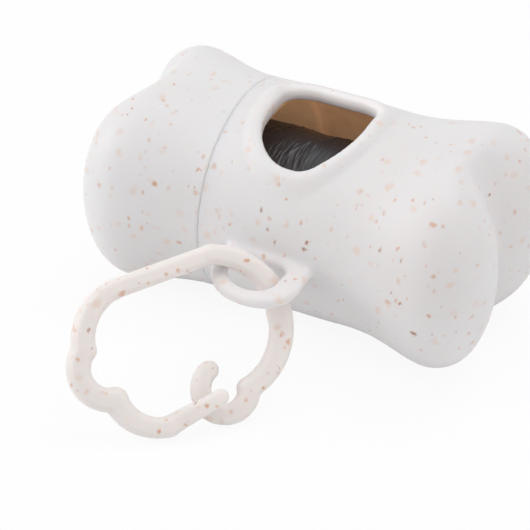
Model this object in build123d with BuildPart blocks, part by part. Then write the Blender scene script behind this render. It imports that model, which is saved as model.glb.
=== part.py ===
"""Bone-shaped bag dispenser, lying flat as it rests on a table.

The origin is the middle of the barrel's axis. +X runs along the bone to the closed end, +Z is up, and the
lug for the clip points to -Y. All sizes are in millimetres.
"""

import os
from math import cos, hypot, pi, radians, sin, sqrt, tan

from build123d import *

# ---- driving dimensions ---------------------------------------------------------------------------------

# outer form: a round barrel that blends into four upright egg-shaped knuckles
barrel_radius = 21.0
barrel_half_length = 30.4
barrel_waist = 13.0  # straight length round the middle, which the bone rests on
barrel_taper = 2.25  # how much slimmer the barrel is at its ends than at its waist
knuckle_station = 33.2  # from the middle of the bone to a knuckle's centre, along X
knuckle_spread = 12.3  # from the barrel's axis to a knuckle's centre, along Y
knuckle_half_length = 7.85
knuckle_half_width = 9.4
knuckle_half_height = 15.35
knuckle_blend = 15.8  # how softly a knuckle runs into the barrel
valley_blend = 6.4  # how softly the two knuckles of one end run into each other
wall = 1.6

# where the cap parts from the body
seam_station = -13.8
seam_gap = 0.1
neck_length = 8.0
neck_wall = 1.25
neck_clearance = 0.25
socket_wall = 1.6
socket_relief = 0.6  # the socket is this much deeper than the neck is long
collar_length = 6.0

# dispensing window, a rounded triangle seen from above, with a raised rim
window_left = -6.7
window_back = 5.0
window_tip = 12.6
window_front = -14.9
window_bend = (11.9, -7.0)  # where the right side turns into the slanting front side
window_foot = 4.9  # where the slanting side meets the front side, along X
window_corner = 3.6
window_tip_corner = 1.8
window_bend_corner = 8.0
window_foot_corner = 5.0
window_front_corner = 7.2
rim_width = 2.9
rim_rise = 0.9
rim_drop = 0.6  # how far the rim stands into the cavity
rim_edge = 0.7

# lug for the clip, on the mould's parting line
lug_left = -7.0
lug_right = 11.6
lug_reach = 14.3  # from the barrel's surface to the lug's front
lug_taper = 1.2  # how much further left the lug's right side is at the root than at the front
lug_thickness = 2.5
lug_left_corner = 9.9
lug_right_corner = 7.0
lug_band = 3.1
lug_land = 3.9  # solid width to the right of the hole
lug_root_gap = 1.2  # from the barrel's surface to the hole
lug_hole_corner = 3.0
lug_edge = 0.9

# springy clip, a cloud-shaped open ring that leans from the lug down to the table
clip_centre = (2.69, -26.25, 0.0)  # where the strand passes through the lug's hole
clip_yaw = 45.1
clip_lean = 53.6
clip_radius = 2.15
clip_hook_radius = 1.85
clip_tip_radius = 1.15

# roll of bags
roll_length = 57.0
roll_radius = 15.0
roll_clearance = 0.55
core_radius = 6.5
core_wall = 1.0

# ---- outer form -----------------------------------------------------------------------------------------

ring_points = 32
fan_station = 22.0  # sections are flat up to here, and then fan out over the knuckles
flat_stations = (0.0, 7.5, 15.0)
fan_angles = (90.0, 77.0, 65.0, 54.0, 44.0, 35.0, 26.0, 17.0, 8.0)


def smooth_join(first, second, blend):
    """The smaller of two distances, rounded over where they are nearly equal."""
    overlap = max(blend - abs(first - second), 0.0) / blend
    return min(first, second) - overlap * overlap * blend / 4


def barrel_at(station):
    """The barrel's radius at a station along X."""
    beyond = max(abs(station) - barrel_waist / 2, 0.0)
    return barrel_radius - barrel_taper * (beyond / (barrel_half_length - barrel_waist / 2)) ** 2


def barrel_distance(x, y, z):
    """How far a point lies outside the barrel."""
    beside = hypot(y, z) - barrel_at(x)
    beyond = abs(x) - barrel_half_length
    return min(max(beside, beyond), 0.0) + hypot(max(beside, 0.0), max(beyond, 0.0))


def knuckle_distance(x, y, z, side):
    """How far a point lies outside the knuckle on one side of the barrel's axis."""
    along = (abs(x) - knuckle_station) / knuckle_half_length
    across = (side * y - knuckle_spread) / knuckle_half_width
    upright = z / knuckle_half_height
    scale = sqrt(along**2 + across**2 + upright**2)
    slope = sqrt(
        (along / knuckle_half_length) ** 2
        + (across / knuckle_half_width) ** 2
        + (upright / knuckle_half_height) ** 2
    )
    return scale * (scale - 1) / max(slope, 1e-9)


def bone_distance(x, y, z):
    """How far a point lies outside the whole bone: negative inside it."""
    knuckles = smooth_join(
        knuckle_distance(x, y, z, 1), knuckle_distance(x, y, z, -1), valley_blend
    )
    return smooth_join(barrel_distance(x, y, z), knuckles, knuckle_blend)


def skin_point(station, fan, turn, depth):
    """The point of the skin, or of a surface at a depth under it, that a ray from the axis meets."""
    ahead = cos(radians(fan))
    away = sin(radians(fan))
    reach = 2.4 * barrel_radius
    for _ in range(30):
        x = station + reach * ahead
        y = reach * away * cos(turn)
        z = reach * away * sin(turn)
        reach -= 0.9 * (bone_distance(x, y, z) + depth)
    return Vector(x, y, z)


def skin_ring(station, fan, depth):
    """One closed section of the skin, round the barrel's axis."""
    points = [
        skin_point(station, fan, 2 * pi * step / ring_points, depth) for step in range(ring_points)
    ]
    if fan == fan_angles[-1]:
        middle = sum(point.X for point in points) / ring_points
        points = [Vector(middle, point.Y, point.Z) for point in points]
    return points


def bone(depth):
    """The bone's solid, a loft over rings of the skin from one end to the other."""
    half = [skin_ring(station, 90.0, depth) for station in flat_stations]
    half += [skin_ring(fan_station, fan, depth) for fan in fan_angles]
    mirrored = [[Vector(-p.X, p.Y, p.Z) for p in ring] for ring in half[:0:-1]]
    wires = [Wire([Edge.make_spline(ring, periodic=True)]) for ring in mirrored + half]
    return Solid.make_loft(wires)


outer_form = bone(0.0)
hollow_form = bone(wall)

# ---- body shell -----------------------------------------------------------------------------------------

socket_radius = barrel_at(seam_station) - socket_wall
neck_radius = socket_radius - neck_clearance
neck_bore = neck_radius - neck_wall
neck_end = seam_station - neck_length
collar_end = seam_station + collar_length
collar_radius = barrel_at(seam_station) - wall / 2
far_reach = 2 * barrel_radius
axis_plane = Plane.YZ


def window_outline(grow):
    """The window seen from above, grown on every side."""
    corners = (
        (window_left - grow, window_back + grow),
        (window_tip + grow, window_back + grow),
        (window_bend[0] + grow, window_bend[1]),
        (window_foot, window_front - grow),
        (window_left - grow, window_front - grow),
    )
    rounds = (
        window_corner + grow,
        window_tip_corner + grow,
        window_bend_corner + grow,
        window_foot_corner + grow,
        window_front_corner + grow,
    )
    return corners, rounds


with BuildPart() as window_rim:
    with BuildSketch():
        with BuildLine():
            rim_corners, rim_rounds = window_outline(rim_width)
            FilletPolyline(*rim_corners, radius=rim_rounds, close=True)
        make_face()
    extrude(amount=far_reach)
    with BuildSketch(axis_plane):
        Circle(barrel_radius + rim_rise)
    extrude(amount=far_reach, both=True, mode=Mode.INTERSECT)
    fillet(window_rim.edges().filter_by_position(Axis.Z, rim_edge, far_reach), rim_edge)
    with BuildSketch(axis_plane):
        Circle(barrel_radius - wall - rim_drop)
    extrude(amount=far_reach, both=True, mode=Mode.SUBTRACT)

with BuildPart() as window_cutter:
    with BuildSketch():
        with BuildLine():
            cut_corners, cut_rounds = window_outline(0.0)
            FilletPolyline(*cut_corners, radius=cut_rounds, close=True)
        make_face()
    extrude(amount=far_reach)

lug_front = -barrel_radius - lug_reach
lug_root = -barrel_radius + wall / 2
lug_hole_front = lug_front + lug_band
lug_hole_back = -barrel_radius - lug_root_gap
lug_hole_left = lug_left + lug_band
lug_hole_right = lug_right - lug_land
with BuildPart() as lug:
    with BuildSketch():
        with BuildLine():
            FilletPolyline(
                (lug_left, lug_root),
                (lug_left, lug_front),
                (lug_right, lug_front),
                (lug_right - lug_taper, lug_root),
                radius=(lug_left_corner, lug_right_corner),
            )
            Line((lug_right - lug_taper, lug_root), (lug_left, lug_root))
        make_face()
        with BuildLine():
            FilletPolyline(
                (lug_hole_left, lug_hole_back),
                (lug_hole_left, lug_hole_front),
                (lug_hole_right, lug_hole_front),
                (lug_hole_right, lug_hole_back),
                radius=(
                    lug_hole_corner,
                    lug_left_corner - lug_band,
                    lug_right_corner - lug_band + lug_edge,
                    lug_hole_corner,
                ),
                close=True,
            )
        make_face(mode=Mode.SUBTRACT)
    extrude(amount=lug_thickness / 2, both=True)
    rim_faces = lug.faces().filter_by(Axis.Z)
    round_edges = rim_faces.edges().filter_by(
        lambda edge: edge.center().Y < lug_root - lug_edge
    )
    fillet(round_edges, lug_edge)

with BuildPart() as body_shell:
    add(outer_form)
    add(hollow_form, mode=Mode.SUBTRACT)
    split(bisect_by=axis_plane.offset(seam_station), keep=Keep.TOP)
    with BuildSketch(Plane.XY):
        with BuildLine():
            Polyline(
                (neck_end, neck_bore + neck_wall / 3),
                (neck_end, neck_radius - neck_wall / 3),
                (neck_end + neck_wall, neck_radius),
                (seam_station, neck_radius),
                (seam_station, collar_radius),
                (collar_end, collar_radius),
                (collar_end - neck_wall, neck_bore),
                (neck_end + neck_wall, neck_bore),
                close=True,
            )
        make_face()
    revolve(axis=Axis.X)
    add(lug.part)
    add(window_rim.part)
    add(window_cutter.part, mode=Mode.SUBTRACT)

# ---- end cap --------------------------------------------------------------------------------------------

socket_end = neck_end - socket_relief
with BuildPart() as end_cap:
    add(outer_form)
    add(hollow_form, mode=Mode.SUBTRACT)
    split(bisect_by=axis_plane.offset(seam_station - seam_gap), keep=Keep.BOTTOM)
    with BuildSketch(axis_plane.offset(socket_end)):
        Circle(socket_radius)
    extrude(amount=seam_station - socket_end, mode=Mode.SUBTRACT)

# ---- bag roll and its core ------------------------------------------------------------------------------

roll_drop = neck_bore - roll_clearance - roll_radius
roll_plane = Plane(origin=(0, 0, -roll_drop), z_dir=(1, 0, 0))
with BuildPart() as roll_core:
    with BuildSketch(roll_plane):
        Circle(core_radius)
        Circle(core_radius - core_wall, mode=Mode.SUBTRACT)
    extrude(amount=roll_length / 2, both=True)

with BuildPart() as bag_roll:
    with BuildSketch(roll_plane):
        Circle(roll_radius)
        Circle(core_radius, mode=Mode.SUBTRACT)
    extrude(amount=roll_length / 2, both=True)

# ---- carry clip -----------------------------------------------------------------------------------------

# the strand's corners in the clip's own plane: across, up the slope, and out of the plane
hook_corners = (
    (-12.1, -15.0, -2.6),
    (-15.2, -16.8, -2.6),
    (-13.8, -23.3, -1.0),
    (-6.7, -23.5, 0.0),
    (-6.9, -18.9, 0.0),
)
ring_corners = (
    (-0.5, -17.3, 0.0),
    (2.9, -8.6, 0.0),
    (0.1, 2.0, 0.0),
    (-7.6, 5.9, 0.0),
    (-18.0, 4.2, 0.0),
    (-30.8, 1.3, 0.0),
    (-34.2, -4.7, 0.0),
    (-33.7, -7.7, 0.0),
    (-36.7, -10.6, 0.0),
    (-33.7, -16.8, 0.0),
    (-30.1, -16.8, 0.0),
    (-27.7, -21.8, 0.0),
    (-22.3, -24.3, 0.3),
)
tip_end = (-10.7, -19.6, 3.6)
bend_share = 0.45  # of the shorter run at a corner, taken up by the arc
step_share = 0.47  # of the run from the hook to the ring, where the strand starts to thicken
step_end_share = 0.53
tip_share = 0.3  # of the last run, where the strand starts to thin towards its tip

across = Vector(cos(radians(clip_yaw)), sin(radians(clip_yaw)), 0)
upward = Vector(
    -sin(radians(clip_yaw)) * cos(radians(clip_lean)),
    cos(radians(clip_yaw)) * cos(radians(clip_lean)),
    sin(radians(clip_lean)),
)
clip_plane = Plane(origin=clip_centre, x_dir=across, z_dir=across.cross(upward))


def bend_radii(corners):
    """The arc radius at every corner between the first and the last."""
    radii = []
    for before, here, after in zip(corners, corners[1:], corners[2:]):
        run_in = Vector(*here) - Vector(*before)
        run_out = Vector(*after) - Vector(*here)
        half_turn = radians(run_in.get_angle(run_out)) / 2
        radii.append(bend_share * min(run_in.length, run_out.length) / tan(half_turn))
    return radii


def between(first, second, share):
    """The point at a share of the way from one point to another."""
    return tuple(a + share * (b - a) for a, b in zip(first, second))


def strand(corners, radii, radius):
    """A round strand along straight runs joined by tangent arcs."""
    with BuildPart() as swept:
        with BuildLine(clip_plane) as path:
            FilletPolyline(*corners, radius=radii)
        with BuildSketch(Plane(origin=path.line @ 0, z_dir=path.line % 0)):
            Circle(radius)
        sweep()
    return swept.part


def taper(first, second, first_radius, second_radius):
    """A conical run between two points of the strand."""
    start = clip_plane.from_local_coords(Vector(*first))
    end = clip_plane.from_local_coords(Vector(*second))
    with BuildPart() as cone:
        with Locations(Plane(origin=start, z_dir=end - start)):
            Cone(
                first_radius,
                second_radius,
                (end - start).length,
                align=(Align.CENTER, Align.CENTER, Align.MIN),
            )
    return cone.part


whole = hook_corners + ring_corners + (tip_end,)
radii = bend_radii(whole)
hook_run = between(hook_corners[-1], ring_corners[0], step_share)
ring_run = between(hook_corners[-1], ring_corners[0], step_end_share)
tip_run = between(ring_corners[-1], tip_end, tip_share)
hook_count = len(hook_corners) - 1
with BuildPart() as carry_clip:
    add(strand(hook_corners + (hook_run,), radii[:hook_count], clip_hook_radius))
    add(taper(hook_run, ring_run, clip_hook_radius, clip_radius))
    add(strand((ring_run,) + ring_corners + (tip_run,), radii[hook_count:], clip_radius))
    add(taper(tip_run, tip_end, clip_radius, clip_tip_radius))
    with Locations(clip_plane.from_local_coords(Vector(*hook_corners[0]))):
        Sphere(clip_hook_radius)
    with Locations(clip_plane.from_local_coords(Vector(*tip_end))):
        Sphere(clip_tip_radius)

# ---- export ---------------------------------------------------------------------------------------------

os.makedirs("parts", exist_ok=True)
body_shell.part.label = "body_shell"
export_step(body_shell.part, "parts/body_shell.step")
end_cap.part.label = "end_cap"
export_step(end_cap.part, "parts/end_cap.step")
roll_core.part.label = "roll_core"
export_step(roll_core.part, "parts/roll_core.step")
bag_roll.part.label = "bag_roll"
export_step(bag_roll.part, "parts/bag_roll.step")
carry_clip.part.label = "carry_clip"
export_step(carry_clip.part, "parts/carry_clip.step")
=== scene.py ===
"""A bone-shaped dog poop bag dispenser of speckled straw plastic, lying on a pale table.

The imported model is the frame: metres, +X along the bone to the closed end, +Z up, the clip's lug to -Y.
The forms below are worked out in millimetres, like the moulds, and turned to metres as meshes are made.
"""

from math import cos, radians, sin, sqrt, tan, tau

import bpy
import numpy as np
from mathutils import Matrix, Vector


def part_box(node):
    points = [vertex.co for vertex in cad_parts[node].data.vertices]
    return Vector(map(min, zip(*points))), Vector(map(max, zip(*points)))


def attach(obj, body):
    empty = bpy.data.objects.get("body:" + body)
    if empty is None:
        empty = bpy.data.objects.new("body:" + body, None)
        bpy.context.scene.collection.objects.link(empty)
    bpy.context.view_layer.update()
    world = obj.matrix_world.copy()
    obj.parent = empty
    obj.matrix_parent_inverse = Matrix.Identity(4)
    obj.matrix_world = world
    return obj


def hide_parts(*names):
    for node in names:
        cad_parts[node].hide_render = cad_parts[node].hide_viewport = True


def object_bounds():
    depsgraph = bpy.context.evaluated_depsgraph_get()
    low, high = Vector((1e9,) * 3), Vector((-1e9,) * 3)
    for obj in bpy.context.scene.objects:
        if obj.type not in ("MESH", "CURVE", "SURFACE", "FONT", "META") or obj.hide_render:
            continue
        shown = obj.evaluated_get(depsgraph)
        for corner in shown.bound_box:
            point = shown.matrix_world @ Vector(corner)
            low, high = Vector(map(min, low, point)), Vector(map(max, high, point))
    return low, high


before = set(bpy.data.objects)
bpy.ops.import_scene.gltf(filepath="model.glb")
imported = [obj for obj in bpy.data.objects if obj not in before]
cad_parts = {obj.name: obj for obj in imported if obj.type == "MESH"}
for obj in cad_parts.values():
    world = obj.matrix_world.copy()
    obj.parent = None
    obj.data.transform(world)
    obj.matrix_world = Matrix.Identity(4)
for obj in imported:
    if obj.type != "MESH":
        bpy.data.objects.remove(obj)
cad_low, cad_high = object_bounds()
scene = bpy.context.scene
mm = 0.001

# ---- camera ---------------------------------------------------------------------------------------------
# The photograph looks down on the bone from its front right. The frame is square, and the lens is a long
# one, so the far knuckles look little smaller than the near ones.

camera_turn = 28.08  # degrees round the object, from -Y towards +X
camera_height = 34.80  # degrees above the table
camera_place = Vector((150.68, -302.53, 220.04)) * mm
sensor_width = 36.0
lens_length = 144.6

camera_data = bpy.data.cameras.new("camera")
camera_data.sensor_width = sensor_width
camera_data.lens = lens_length
camera_data.clip_start = 0.01
camera = bpy.data.objects.new("camera", camera_data)
scene.collection.objects.link(camera)
camera_tilt = Matrix.Rotation(radians(90 - camera_height), 4, "X")
camera.matrix_world = (
    Matrix.Translation(camera_place) @ Matrix.Rotation(radians(camera_turn), 4, "Z") @ camera_tilt
)
scene.camera = camera

# ---- speckled straw plastic -----------------------------------------------------------------------------
# Both shells and the clip are moulded in a slightly warm white plastic with ground straw in it. Flakes near
# the surface are orange or brown and sharp, and deeper ones are faint and blurred. The skin is satin.


class Value:
    """A shader socket that Python's operators work on."""

    def __init__(self, tree, socket):
        self.tree = tree
        self.socket = socket

    def maths(self, operation, *others):
        node = self.tree.nodes.new("ShaderNodeMath")
        node.operation = operation
        for slot, value in zip(node.inputs, (self, *others)):
            connect(self.tree, slot, value)
        return Value(self.tree, node.outputs[0])

    def __add__(self, other):
        return self.maths("ADD", other)

    def __radd__(self, other):
        return self.maths("ADD", other)

    def __sub__(self, other):
        return self.maths("SUBTRACT", other)

    def __rsub__(self, other):
        return (self * -1).maths("ADD", other)

    def __mul__(self, other):
        return self.maths("MULTIPLY", other)

    def __rmul__(self, other):
        return self.maths("MULTIPLY", other)

    def __truediv__(self, other):
        return self.maths("DIVIDE", other)

    def __lt__(self, other):
        return self.maths("LESS_THAN", other)

    def __gt__(self, other):
        return self.maths("GREATER_THAN", other)


def connect(tree, socket, value):
    """Puts a link or a plain value on a socket."""
    if isinstance(value, Value):
        tree.links.new(value.socket, socket)
    else:
        socket.default_value = value


class Finish:
    """A material under construction, with one method that adds any node."""

    def __init__(self, name):
        self.material = bpy.data.materials.new(name)
        self.material.use_nodes = True
        self.tree = self.material.node_tree
        self.shader = self.tree.nodes["Principled BSDF"]

    def add(self, kind, output=0, settings=None, **inputs):
        """Adds a node, sets its settings, fills its sockets, and returns one of its outputs."""
        node = self.tree.nodes.new(kind)
        for name, value in (settings or {}).items():
            if name == "stops":
                while len(node.color_ramp.elements) < len(value):
                    node.color_ramp.elements.new(0.5)
                for element, (place, colour) in zip(node.color_ramp.elements, value):
                    element.position = place
                    element.color = colour
            else:
                setattr(node, name, value)
        for name, value in inputs.items():
            connect(self.tree, node.inputs[name.replace("_", " ")], value)
        return Value(self.tree, node.outputs[output])

    def mix(self, share, first, second):
        """A colour between two others."""
        node = self.tree.nodes.new("ShaderNodeMix")
        node.data_type = "RGBA"
        connect(self.tree, node.inputs[0], share)
        connect(self.tree, node.inputs[6], first)
        connect(self.tree, node.inputs[7], second)
        return Value(self.tree, node.outputs[2])

    def place(self):
        """The point of the surface in the object's own frame, in metres."""
        return self.add("ShaderNodeTexCoord", output=3)

    def ramp(self, value, low, high):
        """0 below low, 1 above high, and smooth between them."""
        return self.add(
            "ShaderNodeMapRange",
            settings={"interpolation_type": "SMOOTHSTEP"},
            Value=value,
            From_Min=low,
            From_Max=high,
        )

    def set(self, **inputs):
        for name, value in inputs.items():
            connect(self.tree, self.shader.inputs[name.replace("_", " ")], value)


def linear(red, green, blue):
    """A colour as a screen shows it, from 0 to 255, as the linear colour that a shader takes."""
    parts = [part / 255 for part in (red, green, blue)]
    return (*[p / 12.92 if p <= 0.04045 else ((p + 0.055) / 1.055) ** 2.4 for p in parts], 1.0)


plastic_colour = linear(233, 231, 232)
cloud_colour = linear(229, 224, 223)  # of faint uneven patches
straw_light = linear(214, 156, 112)
straw_dark = linear(166, 112, 82)
straw_deep = linear(230, 208, 194)
flake_size = 2.6 * mm  # cell size of the larger flakes
fine_size = 1.4 * mm
deep_size = 3.2 * mm


def flakes(finish, spot, size, share, radius, soft, stretch, seed):
    """1 in a scatter of small ragged flakes. share is the share of cells with a flake in it, and soft is how
    much of a flake its blurred edge takes up."""
    moved = finish.add(
        "ShaderNodeMapping", Vector=spot, Location=(seed * 0.37, seed * 0.73, seed * 0.11), Scale=stretch
    )
    ragged = finish.add("ShaderNodeTexNoise", output=1, Vector=moved, Scale=2.2 / size, Detail=2.0)
    node = finish.tree.nodes.new("ShaderNodeVectorMath")
    node.operation = "MULTIPLY_ADD"
    connect(finish.tree, node.inputs[0], ragged)
    node.inputs[1].default_value = (size * 0.55,) * 3
    connect(finish.tree, node.inputs[2], moved)
    shaken = Value(finish.tree, node.outputs[0])
    cells = finish.tree.nodes.new("ShaderNodeTexVoronoi")
    connect(finish.tree, cells.inputs["Vector"], shaken)
    cells.inputs["Scale"].default_value = 1 / size
    distance = Value(finish.tree, cells.outputs["Distance"])
    chance = Value(finish.tree, finish.tree.nodes.new("ShaderNodeSeparateColor").outputs[0])
    connect(finish.tree, chance.socket.node.inputs[0], Value(finish.tree, cells.outputs["Color"]))
    tone = Value(finish.tree, chance.socket.node.outputs[1])
    reach = Value(finish.tree, chance.socket.node.outputs[2]) * radius * 0.7 + radius * 0.3
    inside = 1 - finish.ramp(distance / reach, 1.1 - soft, 1.1)
    return inside * (chance < share), tone


def straw_plastic(name, base, dress=None):
    """Speckled plastic. dress adds what only one moulding's surface shows, to its colour and its relief."""
    finish = Finish(name)
    spot = finish.place()
    cloud = finish.add("ShaderNodeTexNoise", Vector=spot, Scale=45.0, Detail=2.0)
    colour = finish.mix(finish.ramp(cloud, 0.35, 0.7) * 0.5, base, cloud_colour)
    deep, _ = flakes(finish, spot, deep_size, 0.8, 0.36, 0.9, (1.0, 0.8, 1.0), 1.0)
    colour = finish.mix(deep * 0.6, colour, straw_deep)
    large, tone = flakes(finish, spot, flake_size, 0.2, 0.36, 0.8, (1.0, 0.75, 1.2), 2.0)
    tint = finish.mix(finish.ramp(tone, 0.86, 0.98), straw_light, straw_dark)
    colour = finish.mix(large * (0.35 + tone * 0.5), colour, tint)
    fine, fine_tone = flakes(finish, spot, fine_size, 0.17, 0.44, 0.9, (1.2, 1.0, 0.8), 3.0)
    fine_tint = finish.mix(finish.ramp(fine_tone, 0.88, 0.98), straw_light, straw_dark)
    colour = finish.mix(fine * (0.25 + fine_tone * 0.45), colour, fine_tint)
    relief = finish.add("ShaderNodeTexNoise", Vector=spot, Scale=1400.0, Detail=2.0) * 0.06
    if dress:
        colour, relief = dress(finish, spot, colour, relief)
    finish.set(
        Base_Color=colour,
        Normal=finish.add("ShaderNodeBump", Height=relief, Strength=1.0, Distance=0.1 * mm),
        Roughness=0.42,
        Specular_IOR_Level=0.4,
        Subsurface_Weight=0.6,
        Subsurface_Radius=(1.0, 0.8, 0.66),
        Subsurface_Scale=2.0 * mm,
    )
    return finish


# ---- the shells' form -----------------------------------------------------------------------------------
# The bone is a barrel that runs softly into four upright knuckles. It is written as a distance, so that the
# window's lip, the lug and every moulded edge can be rounded into it, and then netted with quads.

barrel_radius = 21.0
barrel_half_length = 30.4
barrel_waist = 13.0
barrel_taper = 2.25
knuckle_centre = (33.2, 12.3, 0.0)
knuckle_half = (7.85, 9.4, 15.35)
knuckle_blend = 15.8
valley_blend = 6.4
wall = 1.6
seam_station = -13.8
seam_gap = -0.2  # negative where the two faces press together
seam_round = 0.12


def join(first, second, blend):
    """The smaller of two distances, rounded over where they are nearly equal."""
    overlap = np.maximum(blend - np.abs(first - second), 0) / blend
    return np.minimum(first, second) - overlap * overlap * blend / 4


def meet(first, second, blend):
    """The larger of two distances, rounded over where they are nearly equal."""
    return -join(-first, -second, blend)


def barrel_at(x):
    """The barrel's radius along the bone: straight at the waist, and slimmer towards the ends."""
    beyond = np.maximum(np.abs(x) - barrel_waist / 2, 0)
    return barrel_radius - barrel_taper * (beyond / (barrel_half_length - barrel_waist / 2)) ** 2


def barrel_distance(x, y, z):
    """How far points lie outside the barrel."""
    beside = np.hypot(y, z) - barrel_at(x)
    beyond = np.abs(x) - barrel_half_length
    return np.minimum(np.maximum(beside, beyond), 0) + np.hypot(np.maximum(beside, 0), np.maximum(beyond, 0))


def knuckle_distance(x, y, z, side):
    """How far points lie outside the knuckles on one side."""
    offsets = (np.abs(x) - knuckle_centre[0], side * y - knuckle_centre[1], z)
    shares = [offset / half for offset, half in zip(offsets, knuckle_half)]
    scale = np.sqrt(sum(share**2 for share in shares))
    slope = np.sqrt(sum((share / half) ** 2 for share, half in zip(shares, knuckle_half)))
    return scale * (scale - 1) / np.maximum(slope, 1e-6)


def bone_distance(x, y, z):
    """How far points lie outside the bone."""
    knuckles = join(knuckle_distance(x, y, z, 1), knuckle_distance(x, y, z, -1), valley_blend)
    return join(barrel_distance(x, y, z), knuckles, knuckle_blend)


def rounded_outline(corners, rounds):
    """A closed outline whose corners are arcs, as an array of points."""
    points = []
    count = len(corners)
    for index, (corner, radius) in enumerate(zip(corners, rounds)):
        here = np.array(corner, float)
        back = np.array(corners[index - 1], float) - here
        ahead = np.array(corners[(index + 1) % count], float) - here
        back /= np.linalg.norm(back)
        ahead /= np.linalg.norm(ahead)
        half_angle = np.arccos(np.clip(back @ ahead, -1, 1)) / 2
        middle = here + (back + ahead) / np.linalg.norm(back + ahead) * radius / sin(half_angle)
        start = here + back * radius / tan(half_angle)
        end = here + ahead * radius / tan(half_angle)
        sweep = np.pi - 2 * half_angle
        steps = 12
        for step in range(steps + 1):
            share = step / steps
            spoke = (
                sin((1 - share) * sweep) * (start - middle) + sin(share * sweep) * (end - middle)
            ) / sin(sweep)
            points.append(middle + spoke)
    return np.array(points)


def outline_distance(x, y, outline):
    """How far points lie outside a closed outline: negative inside it."""
    nearest = None
    crossings = 0
    for first, second in zip(outline, np.roll(outline, -1, axis=0)):
        run = second - first
        length = run @ run
        if length < 1e-12:
            continue
        share = np.clip(((x - first[0]) * run[0] + (y - first[1]) * run[1]) / length, 0, 1)
        squared = (x - first[0] - share * run[0]) ** 2 + (y - first[1] - share * run[1]) ** 2
        nearest = squared if nearest is None else np.minimum(nearest, squared)
        spans = (first[1] > y) != (second[1] > y)
        if abs(run[1]) > 1e-12:
            crossings = crossings + (spans & (x < first[0] + (y - first[1]) * run[0] / run[1]))
    return np.where(crossings % 2 == 1, -1, 1) * np.sqrt(nearest)


def net(field, low, high, step):
    """Points and quads over a field's zero surface, one point per grid cell that the surface crosses."""
    x, y, z = (np.arange(start, stop + step, step) for start, stop in zip(low, high))
    value = field(x[:, None, None], y[None, :, None], z[None, None, :])
    inside = value < 0
    cells = tuple(size - 1 for size in value.shape)
    total = np.zeros((*cells, 3), np.float32)
    count = np.zeros(cells, np.int16)
    edges = []
    for axis in range(3):
        first = [slice(None)] * 3
        second = [slice(None)] * 3
        first[axis] = slice(None, -1)
        second[axis] = slice(1, None)
        first, second = tuple(first), tuple(second)
        crossed = np.argwhere(inside[first] != inside[second])
        near = value[first][tuple(crossed.T)]
        far = value[second][tuple(crossed.T)]
        spot = crossed.astype(np.float32)
        spot[:, axis] += near / (near - far)
        others = [other for other in range(3) if other != axis]
        ring = []
        for shift in ((0, 0), (-1, 0), (-1, -1), (0, -1)):
            cell = crossed.copy()
            cell[:, others[0]] += shift[0]
            cell[:, others[1]] += shift[1]
            ring.append(cell)
        fits = np.all([np.all((cell >= 0) & (cell < cells), axis=1) for cell in ring], axis=0)
        for cell in ring:
            keep = tuple(cell[fits].T)
            np.add.at(total, keep, spot[fits])
            np.add.at(count, keep, 1)
        faces = np.stack([np.ravel_multi_index(tuple(cell[fits].T), cells) for cell in ring], axis=1)
        outward = inside[first][tuple(crossed[fits].T)]
        if axis == 1:
            outward = ~outward
        edges.append(np.where(outward[:, None], faces, faces[:, ::-1]))
    quads = np.concatenate(edges)
    used, quads = np.unique(quads, return_inverse=True)
    quads = quads.reshape(-1, 4)
    points = total.reshape(-1, 3)[used] / count.reshape(-1)[used, None]
    points = points * step + np.array(low)
    return settle(field, points, step), quads


def slope_at(field, points, reach):
    """The field's value at points, and its slope there."""
    x, y, z = points.T
    slope = np.stack(
        [
            field(x + reach, y, z) - field(x - reach, y, z),
            field(x, y + reach, z) - field(x, y - reach, z),
            field(x, y, z + reach) - field(x, y, z - reach),
        ],
        axis=1,
    ) / (2 * reach)
    return field(x, y, z), slope


def settle(field, points, step):
    """Points pulled onto the zero surface."""
    for _ in range(3):
        value, slope = slope_at(field, points, 0.05)
        squared = np.maximum((slope**2).sum(axis=1), 0.2)
        move = slope * (value / squared)[:, None]
        length = np.linalg.norm(move, axis=1, keepdims=True)
        points = points - move * np.minimum(1, 0.4 * step / np.maximum(length, 1e-9))
    return points


def mesh_object(name, points, faces, material):
    """A smooth-shaded object from points in millimetres and faces."""
    mesh = bpy.data.meshes.new(name)
    faces = faces.tolist() if isinstance(faces, np.ndarray) else faces
    mesh.from_pydata((np.asarray(points) * mm).tolist(), [], faces)
    mesh.shade_smooth()
    mesh.materials.append(material)
    piece = bpy.data.objects.new(name, mesh)
    scene.collection.objects.link(piece)
    return piece


# ---- body shell -----------------------------------------------------------------------------------------
# The larger moulding: two thirds of the bone, with the window and its raised lip, the lug for the clip on
# the mould's parting line, and the neck that the cap pushes onto.

window_corners = ((-7.3, 5.9), (11.1, 5.9), (11.4, -8.0), (4.9, -14.1), (-7.3, -14.1))
window_rounds = (5.4, 4.4, 12.2, 5.8, 8.6)
lip_rise = 0.9
lip_drop = 0.6
lip_flat = 1.5  # width of the lip's crown
lip_fade = 3.9  # where the lip has run out into the barrel
lip_round = 2.5  # how softly the crown rolls into the window
lip_foot_round = 0.3  # how softly the window's wall ends inside
window_outline = rounded_outline(window_corners, window_rounds)

socket_wall = 1.6
neck_clearance = 0.25
neck_wall = 1.25
neck_length = 8.0
collar_length = 6.0
seam_radius = barrel_at(seam_station)
neck_radius = seam_radius - socket_wall - neck_clearance
neck_bore = neck_radius - neck_wall

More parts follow.
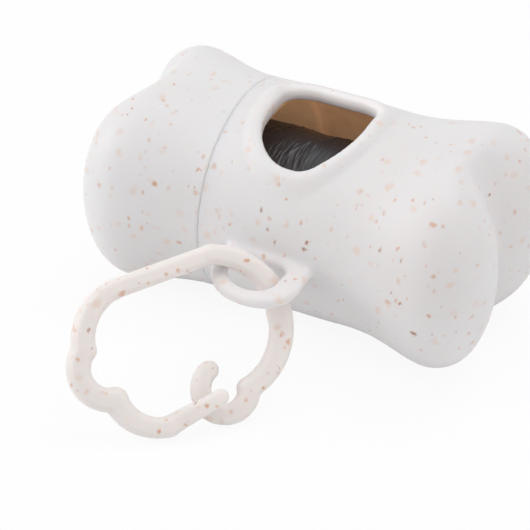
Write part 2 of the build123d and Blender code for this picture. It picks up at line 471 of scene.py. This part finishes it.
lug_left, lug_right, lug_front, lug_root = -7.0, 11.6, -35.3, -20.2
lug_taper = 1.2
lug_thickness = 2.5
lug_outline = rounded_outline(
    ((lug_left, lug_root), (lug_left, lug_front), (lug_right, lug_front), (lug_right - lug_taper, lug_root)),
    (0.3, 9.9, 7.0, 0.3),
)
eye_outline = rounded_outline(
    ((-3.9, -22.2), (-3.9, -32.2), (6.5, -32.2), (6.5, -22.2)), (3.0, 6.8, 3.6, 3.0)
)
lug_round = 1.5
root_round = 1.2

body_box = ((-23.0, -36.5, -22.5), (42.6, 25.4, 23.3))  # two corners, a little outside the moulding
net_step = 0.45

ridge_crest = 0.02  # half widths of the parting line's ridge
ridge_foot = 0.16
ridge_strength = 0.12
# painted light and shade: emission colours for the cavity and the far lip, and a brown base colour for the
# cavity, stand in for light through the wall and shade inside
painted_cavity_glow = linear(124, 94, 68)
painted_cavity_glow_dark = linear(110, 82, 58)
painted_lip_glow = linear(112, 110, 110)
painted_cavity_shade = linear(190, 156, 126)


def lip_height(x, y, z):
    """How far the lip stands above the barrel at points seen from above."""
    beside = outline_distance(x, y, window_outline)
    share = np.clip((lip_fade - np.maximum(beside, lip_flat)) / (lip_fade - lip_flat), 0, 1)
    return share * share * (3 - 2 * share) * (z > 0)


def tube_distance(x, y, z, start, end, inner, outer):
    """How far points lie outside a tube round the X axis."""
    ring = np.abs(np.hypot(y, z) - (inner + outer) / 2) - (outer - inner) / 2
    ends = np.abs(x - (start + end) / 2) - (end - start) / 2
    return np.maximum(ring, ends)


def body_field(x, y, z):
    skin = bone_distance(x, y, z)
    lip = lip_height(x, y, z)
    outside = skin - lip * lip_rise
    lug = meet(outline_distance(x, y, lug_outline), -outline_distance(x, y, eye_outline), lug_round)
    lug = meet(lug, np.abs(z) - lug_thickness / 2, lug_round)
    outside = join(outside, lug, root_round)
    shell = np.maximum(outside, -(skin + wall + lip * lip_drop))
    shell = meet(shell, seam_station - x, seam_round)
    collar = tube_distance(
        x, y, z, seam_station - 0.6, seam_station + collar_length, neck_bore, neck_radius + 0.6
    )
    neck = tube_distance(x, y, z, seam_station - neck_length, seam_station + 1, neck_bore, neck_radius)
    shell = np.minimum(shell, np.minimum(collar, neck))
    window = np.where(z > 0, outline_distance(x, y, window_outline), 10.0)
    crown = np.clip((skin + wall) / (wall + lip_rise), 0, 1)
    return meet(shell, -window, lip_foot_round + (lip_round - lip_foot_round) * crown)


def painted_cavity_light(finish, spot, colour, relief):
    """Painted light and shade: emission and a deep straw-brown base colour on the body's cavity stand in for
    light through the wall and shade inside, and a soft white emission on the window's far lip stands in for
    light through the lip. A hair-fine ridge runs along the mould's parting line."""
    inner = finish.add("ShaderNodeAttribute", output=2, settings={"attribute_name": "inside"})
    blotch = finish.add("ShaderNodeTexNoise", Vector=spot, Scale=300.0, Detail=3.0)
    glow = finish.mix(finish.ramp(blotch, 0.3, 0.8), painted_cavity_glow, painted_cavity_glow_dark)
    lip = finish.add("ShaderNodeAttribute", output=2, settings={"attribute_name": "lip"})
    # painted light: emission on the far lip's inner side and on the cavity wall
    outer = finish.mix(lip, (0, 0, 0, 1), painted_lip_glow)
    finish.set(Emission_Color=finish.mix(inner, outer, glow), Emission_Strength=1.0)
    colour, relief = parting_ridge(finish, spot, colour, relief)
    return finish.mix(inner, colour, painted_cavity_shade), relief


def parting_ridge(finish, spot, colour, relief):
    """The hair-fine ridge that the two mould halves leave along the bone."""
    height = finish.add("ShaderNodeSeparateXYZ", output=2, Vector=spot)
    ridge = 1 - finish.ramp(height.maths("ABSOLUTE"), ridge_crest * mm, ridge_foot * mm)
    return finish.mix(ridge * ridge_strength, colour, straw_deep), relief + ridge * ridge_strength


body_plastic = straw_plastic("straw_plastic_body", plastic_colour, painted_cavity_light)


def mark_painted_glow(piece, points):
    """Marks where light is painted: the points of the cavity's wall, behind the window's rim and inside the
    neck, whose painted glow dims towards the bottom, and those of the far lip's inner side, which get a
    painted white glow."""
    x, y, z = points.T
    depth = -bone_distance(x, y, z)
    beside = np.where(z > 0, outline_distance(x, y, window_outline), 10.0)
    around = np.hypot(y, z)
    neck_skin = np.clip((around - neck_bore - 0.3) / 0.3, 0, 1) * (x < seam_station + 1)
    inside = np.clip((depth - 0.9) / 0.5, 0, 1) * np.clip((beside - 0.2) / 0.4, 0, 1) * (1 - neck_skin)
    # painted shade: the cavity's painted glow dims towards the bottom
    shade = 0.35 + 0.65 * np.clip((z + 6) / 14, 0, 1)
    # painted light: the far lip's inner side gets a painted white glow
    lip = np.clip(1 - beside / 1.4, 0, 1) * np.clip((y - 1) / 3, 0, 1) * np.clip((1.4 - depth) / 0.5, 0, 1)
    for name, amount in (("inside", inside * shade), ("lip", lip)):
        mark = piece.data.attributes.new(name, "FLOAT", "POINT")
        mark.data.foreach_set("value", amount.astype(np.float32))


body_points, body_quads = net(body_field, *body_box, net_step)
body_shell = mesh_object("body_shell_moulding", body_points, body_quads, body_plastic.material)
mark_painted_glow(body_shell, body_points)
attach(body_shell, "body")
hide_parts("body_shell")

# ---- end cap --------------------------------------------------------------------------------------------
# The smaller moulding: the other third of the bone. Its plain socket pushes over the body's neck, and the
# two skins meet in a hairline seam.

socket_radius = seam_radius - socket_wall
socket_end = seam_station - neck_length - 0.6
cap_box = ((-42.6, -25.4, -22.0), (-12.6, 25.4, 22.0))


def cap_field(x, y, z):
    skin = bone_distance(x, y, z)
    socket = np.maximum(np.hypot(y, z) - socket_radius, socket_end - x)
    hollow = np.minimum(skin + wall, socket)
    shell = np.maximum(skin, -hollow)
    return meet(shell, x - seam_station + seam_gap, seam_round)


cap_points, cap_quads = net(cap_field, *cap_box, net_step)
cap_plastic = straw_plastic("straw_plastic_cap", plastic_colour, parting_ridge)
end_cap = mesh_object("end_cap_moulding", cap_points, cap_quads, cap_plastic.material)
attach(end_cap, "cap")
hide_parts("end_cap")

# ---- carry clip -----------------------------------------------------------------------------------------
# One springy moulding: a flat-sided strand bent like the edge of a cloud. It passes through the lug's eye,
# leans down to the table, and its tapered tip hooks over the small hook at the other end.

clip_centre = Vector((2.69, -26.25, 0.0))
clip_yaw = radians(45.1)
clip_lean = radians(53.6)
clip_across = Vector((cos(clip_yaw), sin(clip_yaw), 0))
clip_up = Vector((-sin(clip_yaw) * cos(clip_lean), cos(clip_yaw) * cos(clip_lean), sin(clip_lean)))
clip_out = clip_across.cross(clip_up)

# each stretch: where it starts, a point that its arc passes through (none for a straight run), and its end,
# across and up the clip's plane, then the two ends' offsets out of the plane, half widths and half depths
clip_stretches = (
    ((-12.3, -15.15), (-14.2, -17.41), (-13.8, -21.79), (-2.0, -0.7), (1.73, 1.85), (1.7, 1.7)),
    ((-13.8, -21.79), (-9.65, -23.4), (-6.05, -19.52), (-0.7, 0.0), (1.85, 1.95), (1.7, 2.0)),
    ((-6.05, -19.52), (0.9, -13.0), (1.94, -7.33), (0.0, 0.0), (1.95, 2.12), (2.0, 2.1)),
    ((1.94, -7.33), (-1.4, 1.4), (-9.0, 5.25), (0.0, 0.0), (2.12, 1.75), (2.1, 2.1)),
    ((-9.0, 5.25), None, (-27.24, 2.05), (0.0, 0.0), (1.75, 1.82), (2.1, 2.1)),
    ((-27.24, 2.05), (-32.61, -2.14), (-34.18, -7.62), (0.0, 0.0), (1.82, 2.1), (2.1, 2.1)),
    ((-34.18, -7.62), (-35.04, -14.39), (-30.2, -17.16), (0.0, 0.0), (2.1, 2.16), (2.1, 2.1)),
    ((-30.2, -17.16), (-27.34, -21.7), (-21.54, -23.56), (0.0, 0.3), (2.16, 1.82), (2.1, 1.95)),
    ((-21.54, -23.56), None, (-12.07, -19.96), (0.3, 3.5), (1.82, 1.4), (1.95, 1.2)),
)
cusp_blend = 0.35  # how softly two stretches run into each other
strand_round = 0.7  # of the strand's edges
strand_bevel = 0.78  # where the bevels cut the section, as a share of its half width and half depth
bevel_round = 0.15
strand_step = 0.3
clip_box = ((-38.5, -28.0, -5.5), (6.0, 9.0, 5.5))  # in the clip's own plane
small_size = 1.5 * mm
clip_colour = linear(240, 234, 231)


def stretch_course(across, up, start, through, end):
    """How far points of the clip's plane lie from a stretch's middle line, and how far along it they are."""
    start, end = np.array(start), np.array(end)
    if through is None:
        run = end - start
        share = np.clip(((across - start[0]) * run[0] + (up - start[1]) * run[1]) / (run @ run), 0, 1)
        return np.hypot(across - start[0] - share * run[0], up - start[1] - share * run[1]), share
    through = np.array(through)
    rows = np.array([through - start, end - start]) * 2
    middle = np.linalg.solve(rows, [through @ through - start @ start, end @ end - start @ start])
    radius = np.linalg.norm(start - middle)
    angles = [np.arctan2(*(point - middle)[::-1]) for point in (start, through, end)]
    turn = (angles[2] - angles[0]) % tau
    if (angles[1] - angles[0]) % tau > turn:
        turn -= tau
    halfway = angles[0] + turn / 2
    spin = np.arctan2(up - middle[1], across - middle[0]) - halfway
    spin = np.clip((spin + np.pi) % tau - np.pi, -abs(turn) / 2, abs(turn) / 2)
    reach = np.hypot(
        across - middle[0] - radius * np.cos(halfway + spin), up - middle[1] - radius * np.sin(halfway + spin)
    )
    return reach, spin / turn + 0.5


def clip_field(across, up, out):
    total = None
    for start, through, end, lifts, half_widths, half_depths in clip_stretches:
        reach, share = stretch_course(across, up, start, through, end)
        width = half_widths[0] + (half_widths[1] - half_widths[0]) * share
        depth = half_depths[0] + (half_depths[1] - half_depths[0]) * share
        lift = lifts[0] + (lifts[1] - lifts[0]) * share * share * (3 - 2 * share)
        off = np.abs(out - lift)
        section = meet(reach - width, off - depth, strand_round)
        bevel = (reach + off - strand_bevel * (width + depth)) / sqrt(2)
        section = meet(section, bevel, bevel_round)
        total = section if total is None else join(total, section, cusp_blend)
    return total


clip_local, clip_quads = net(clip_field, *clip_box, strand_step)
clip_frame = np.array([clip_across, clip_up, clip_out])
clip_points = clip_local @ clip_frame + np.array(clip_centre)


def more_straw(finish, spot, colour, relief):
    """The clip's plastic has more straw in it: a second scatter of small orange flakes."""
    small, tone = flakes(finish, spot, small_size, 0.32, 0.38, 0.8, (1.0, 1.1, 0.9), 7.0)
    return finish.mix(small * (0.3 + tone * 0.5), colour, straw_light), relief


clip_plastic = straw_plastic("straw_plastic_clip", clip_colour, more_straw)
carry_clip = mesh_object("carry_clip_strand", clip_points, clip_quads, clip_plastic.material)
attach(carry_clip, "clip")
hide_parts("carry_clip")

# ---- bag roll -------------------------------------------------------------------------------------------
# A roll of thin dark film bags. The film is wound loosely enough to wrinkle round the roll, with a few
# folds across it, and its layers show on the ends.

roll_low, roll_high = (np.array(corner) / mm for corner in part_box("bag_roll"))
roll_middle = (roll_low + roll_high) / 2
roll_radius = (roll_high[2] - roll_low[2]) / 2
core_low, core_high = (np.array(corner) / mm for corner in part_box("roll_core"))
core_radius = (core_high[2] - core_low[2]) / 2
roll_sag = 0.5  # how far the crumpled film lies inside the roll's box
roll_rows = 320
roll_spokes = 400
end_rings = 14


def ripple(along, spin, seed, count):
    """A sum of smooth waves with random courses, the same on every run."""
    chance = np.random.default_rng(seed)
    total = np.zeros(np.broadcast(along, spin).shape)
    for _ in range(count):
        across_waves = chance.uniform(0.25, 0.9)
        round_waves = chance.integers(1, 7)
        start = chance.uniform(0, tau)
        total += np.sin(along * across_waves * tau / 3 + round_waves * spin + start)
    return total / np.sqrt(count)


def creases(along, spin, spacing, lean, seed):
    """Sharp crests of crumpled film, 1 on a crest and 0 between, about a spacing apart along the roll."""
    wander = ripple(along * 0.5, spin, seed, 16)
    strength = np.clip(0.45 + 0.6 * ripple(along * 0.35, spin, seed + 1, 12), 0, 1)
    phase = along / spacing + lean * spin + wander * 0.9
    return strength * (1 - np.abs(np.sin(phase * np.pi))) ** 2


def roll_mesh():
    along = np.linspace(roll_low[0], roll_high[0], roll_rows)
    spin = np.linspace(0, tau, roll_spokes, endpoint=False)
    grid_along, grid_spin = np.meshgrid(along, spin, indexing="ij")
    slack = ripple(grid_along * 0.4, grid_spin, 3, 20)
    folds = creases(grid_along, grid_spin, 1.25, 0, 5) + 0.7 * creases(grid_along, grid_spin, 3.1, 2, 8)
    folds += 0.6 * creases(grid_along, grid_spin, 2.4, -5, 11)
    sag = roll_sag + 0.08 * slack - 0.2 * folds
    edge = np.minimum(grid_along - roll_low[0], roll_high[0] - grid_along)
    shoulder = 0.35 * np.clip(1 - edge / 0.8, 0, 1) ** 2
    radius = roll_radius - sag * np.clip(edge / 1.5, 0.2, 1) - shoulder
    points = np.stack(
        [
            grid_along,
            roll_middle[1] + radius * np.cos(grid_spin),
            roll_middle[2] + radius * np.sin(grid_spin),
        ],
        axis=2,
    )
    rows = [points[row] for row in range(roll_rows)]
    for side, first in ((1, rows[-1]), (-1, rows[0])):
        discs = []
        start_radius = np.hypot(first[:, 1] - roll_middle[1], first[:, 2] - roll_middle[2])
        for step in range(1, end_rings + 1):
            share = step / end_rings
            radius = start_radius + (core_radius + 0.02 - start_radius) * share
            layer = 0.12 * np.sin(share * tau * 6.5 + spin) + 0.12
            disc = np.stack(
                [
                    np.full(roll_spokes, first[0, 0]) - side * layer * (share < 1),
                    roll_middle[1] + radius * np.cos(spin),
                    roll_middle[2] + radius * np.sin(spin),
                ],
                axis=1,
            )
            discs.append(disc)
        rows = rows + discs if side > 0 else discs[::-1] + rows
    count = len(rows)
    quads = []
    for row in range(count):
        below = (row + 1) % count
        for step in range(roll_spokes):
            after = (step + 1) % roll_spokes
            quads.append(
                (
                    row * roll_spokes + step,
                    row * roll_spokes + after,
                    below * roll_spokes + after,
                    below * roll_spokes + step,
                )
            )
    return np.concatenate(rows), quads


film_dark = linear(36, 36, 40)
film_light = linear(54, 53, 58)
film = Finish("dark_film")
film_spot = film.place()
film_cloud = film.add("ShaderNodeTexNoise", Vector=film_spot, Scale=160.0, Detail=3.0)
film_around = film.add("ShaderNodeMapping", Vector=film_spot, Scale=(1.0, 0.25, 0.25))
film_fold = film.add("ShaderNodeTexNoise", Vector=film_around, Scale=700.0, Detail=2.0, Distortion=0.5)
film_crest = 1 - (film_fold - 0.5).maths("ABSOLUTE") * 9
film_bump = film.add("ShaderNodeBump", Height=film_crest, Strength=0.45, Distance=0.12 * mm)
film.set(
    Base_Color=film.mix(film_cloud, film_dark, film_light),
    Roughness=film_cloud * 0.2 + 0.26,
    Normal=film_bump,
)
roll_points, roll_quads = roll_mesh()
bag_roll = mesh_object("bag_roll_film", roll_points, roll_quads, film.material)
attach(bag_roll, "roll")
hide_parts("bag_roll")

# ---- roll core ------------------------------------------------------------------------------------------
# The refill's inner tube, rolled from grey-brown card. The film is wound on it, and the two turn together in
# the bay. It is seen only when the cap is off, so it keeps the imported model's own mesh.

card_dark = linear(150, 124, 94)
card_light = linear(186, 160, 126)
card = Finish("card")
card_spot = card.place()
card_fibre = card.add("ShaderNodeTexNoise", Vector=card_spot, Scale=900.0, Detail=4.0)
card_wind = card.add("ShaderNodeTexWave", Vector=card_spot, Scale=60.0, Distortion=1.5)
card.set(
    Base_Color=card.mix(card_fibre * 0.7 + card_wind * 0.15, card_dark, card_light),
    Roughness=0.85,
    Normal=card.add("ShaderNodeBump", Height=card_fibre, Strength=0.3, Distance=0.1 * mm),
)
roll_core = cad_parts["roll_core"]
for slot in roll_core.material_slots:
    slot.material = card.material

# ---- table, backdrop and light --------------------------------------------------------------------------
# The photograph is cut out on white, so the table and the world show white to the camera, and the table
# keeps a soft shadow under the object. Soft lamps stand to the left, above, in front and to the right.

table_height = cad_low[2]
table_reach = 3.0
bpy.ops.mesh.primitive_plane_add(size=table_reach, location=(0, 0, table_height))
table = bpy.context.object
table.name = "table"
table_glow = 0.9  # share of the table's white that the camera sees as its own light
paper = Finish("white_table")
paper.set(Base_Color=(0.95, 0.95, 0.95, 1), Roughness=0.9, Specular_IOR_Level=0.1)
glow = paper.add("ShaderNodeEmission", Color=(1, 1, 1, 1), Strength=1.0)
rays = paper.tree.nodes.new("ShaderNodeLightPath")
seen = Value(paper.tree, rays.outputs["Is Camera Ray"])
mixed = paper.tree.nodes.new("ShaderNodeMixShader")
connect(paper.tree, mixed.inputs[0], seen * table_glow)
paper.tree.links.new(paper.shader.outputs[0], mixed.inputs[1])
paper.tree.links.new(glow.socket, mixed.inputs[2])
paper.tree.links.new(mixed.outputs[0], paper.tree.nodes["Material Output"].inputs[0])
table.data.materials.append(paper.material)

world = bpy.data.worlds.new("studio")
scene.world = world
world.use_nodes = True
sky = world.node_tree
sky_rays = sky.nodes.new("ShaderNodeLightPath")
direct = Value(sky, sky_rays.outputs["Is Camera Ray"])
shiny = Value(sky, sky_rays.outputs["Is Glossy Ray"])
clear = Value(sky, sky_rays.outputs["Is Transmission Ray"])
world_level = 0.5
background = sky.nodes["Background"]
background.inputs["Color"].default_value = (1, 1, 1, 1)
shown = direct.maths("MAXIMUM", shiny.maths("MAXIMUM", clear))
connect(sky, background.inputs["Strength"], shown * (1 - world_level) + world_level)


def soft_lamp(name, place, target, size, power):
    """A square lamp that faces a target."""
    data = bpy.data.lights.new(name, "AREA")
    data.size = size
    data.energy = power
    lamp = bpy.data.objects.new(name, data)
    lamp.location = place
    lamp.rotation_euler = (Vector(target) - Vector(place)).to_track_quat("-Z", "Y").to_euler()
    scene.collection.objects.link(lamp)


soft_lamp("left", (-0.75, -0.35, 0.30), (0, 0, 0), 0.5, 2.4)
soft_lamp("top", (0.15, 0.25, 0.80), (0, 0, 0), 0.6, 2.2)
soft_lamp("front", (-0.35, -0.35, 0.75), (0, 0, 0), 0.5, 0.8)
soft_lamp("right", (0.75, -0.25, 0.35), (0, 0, 0), 0.5, 0.9)

scene.view_settings.view_transform = "Standard"
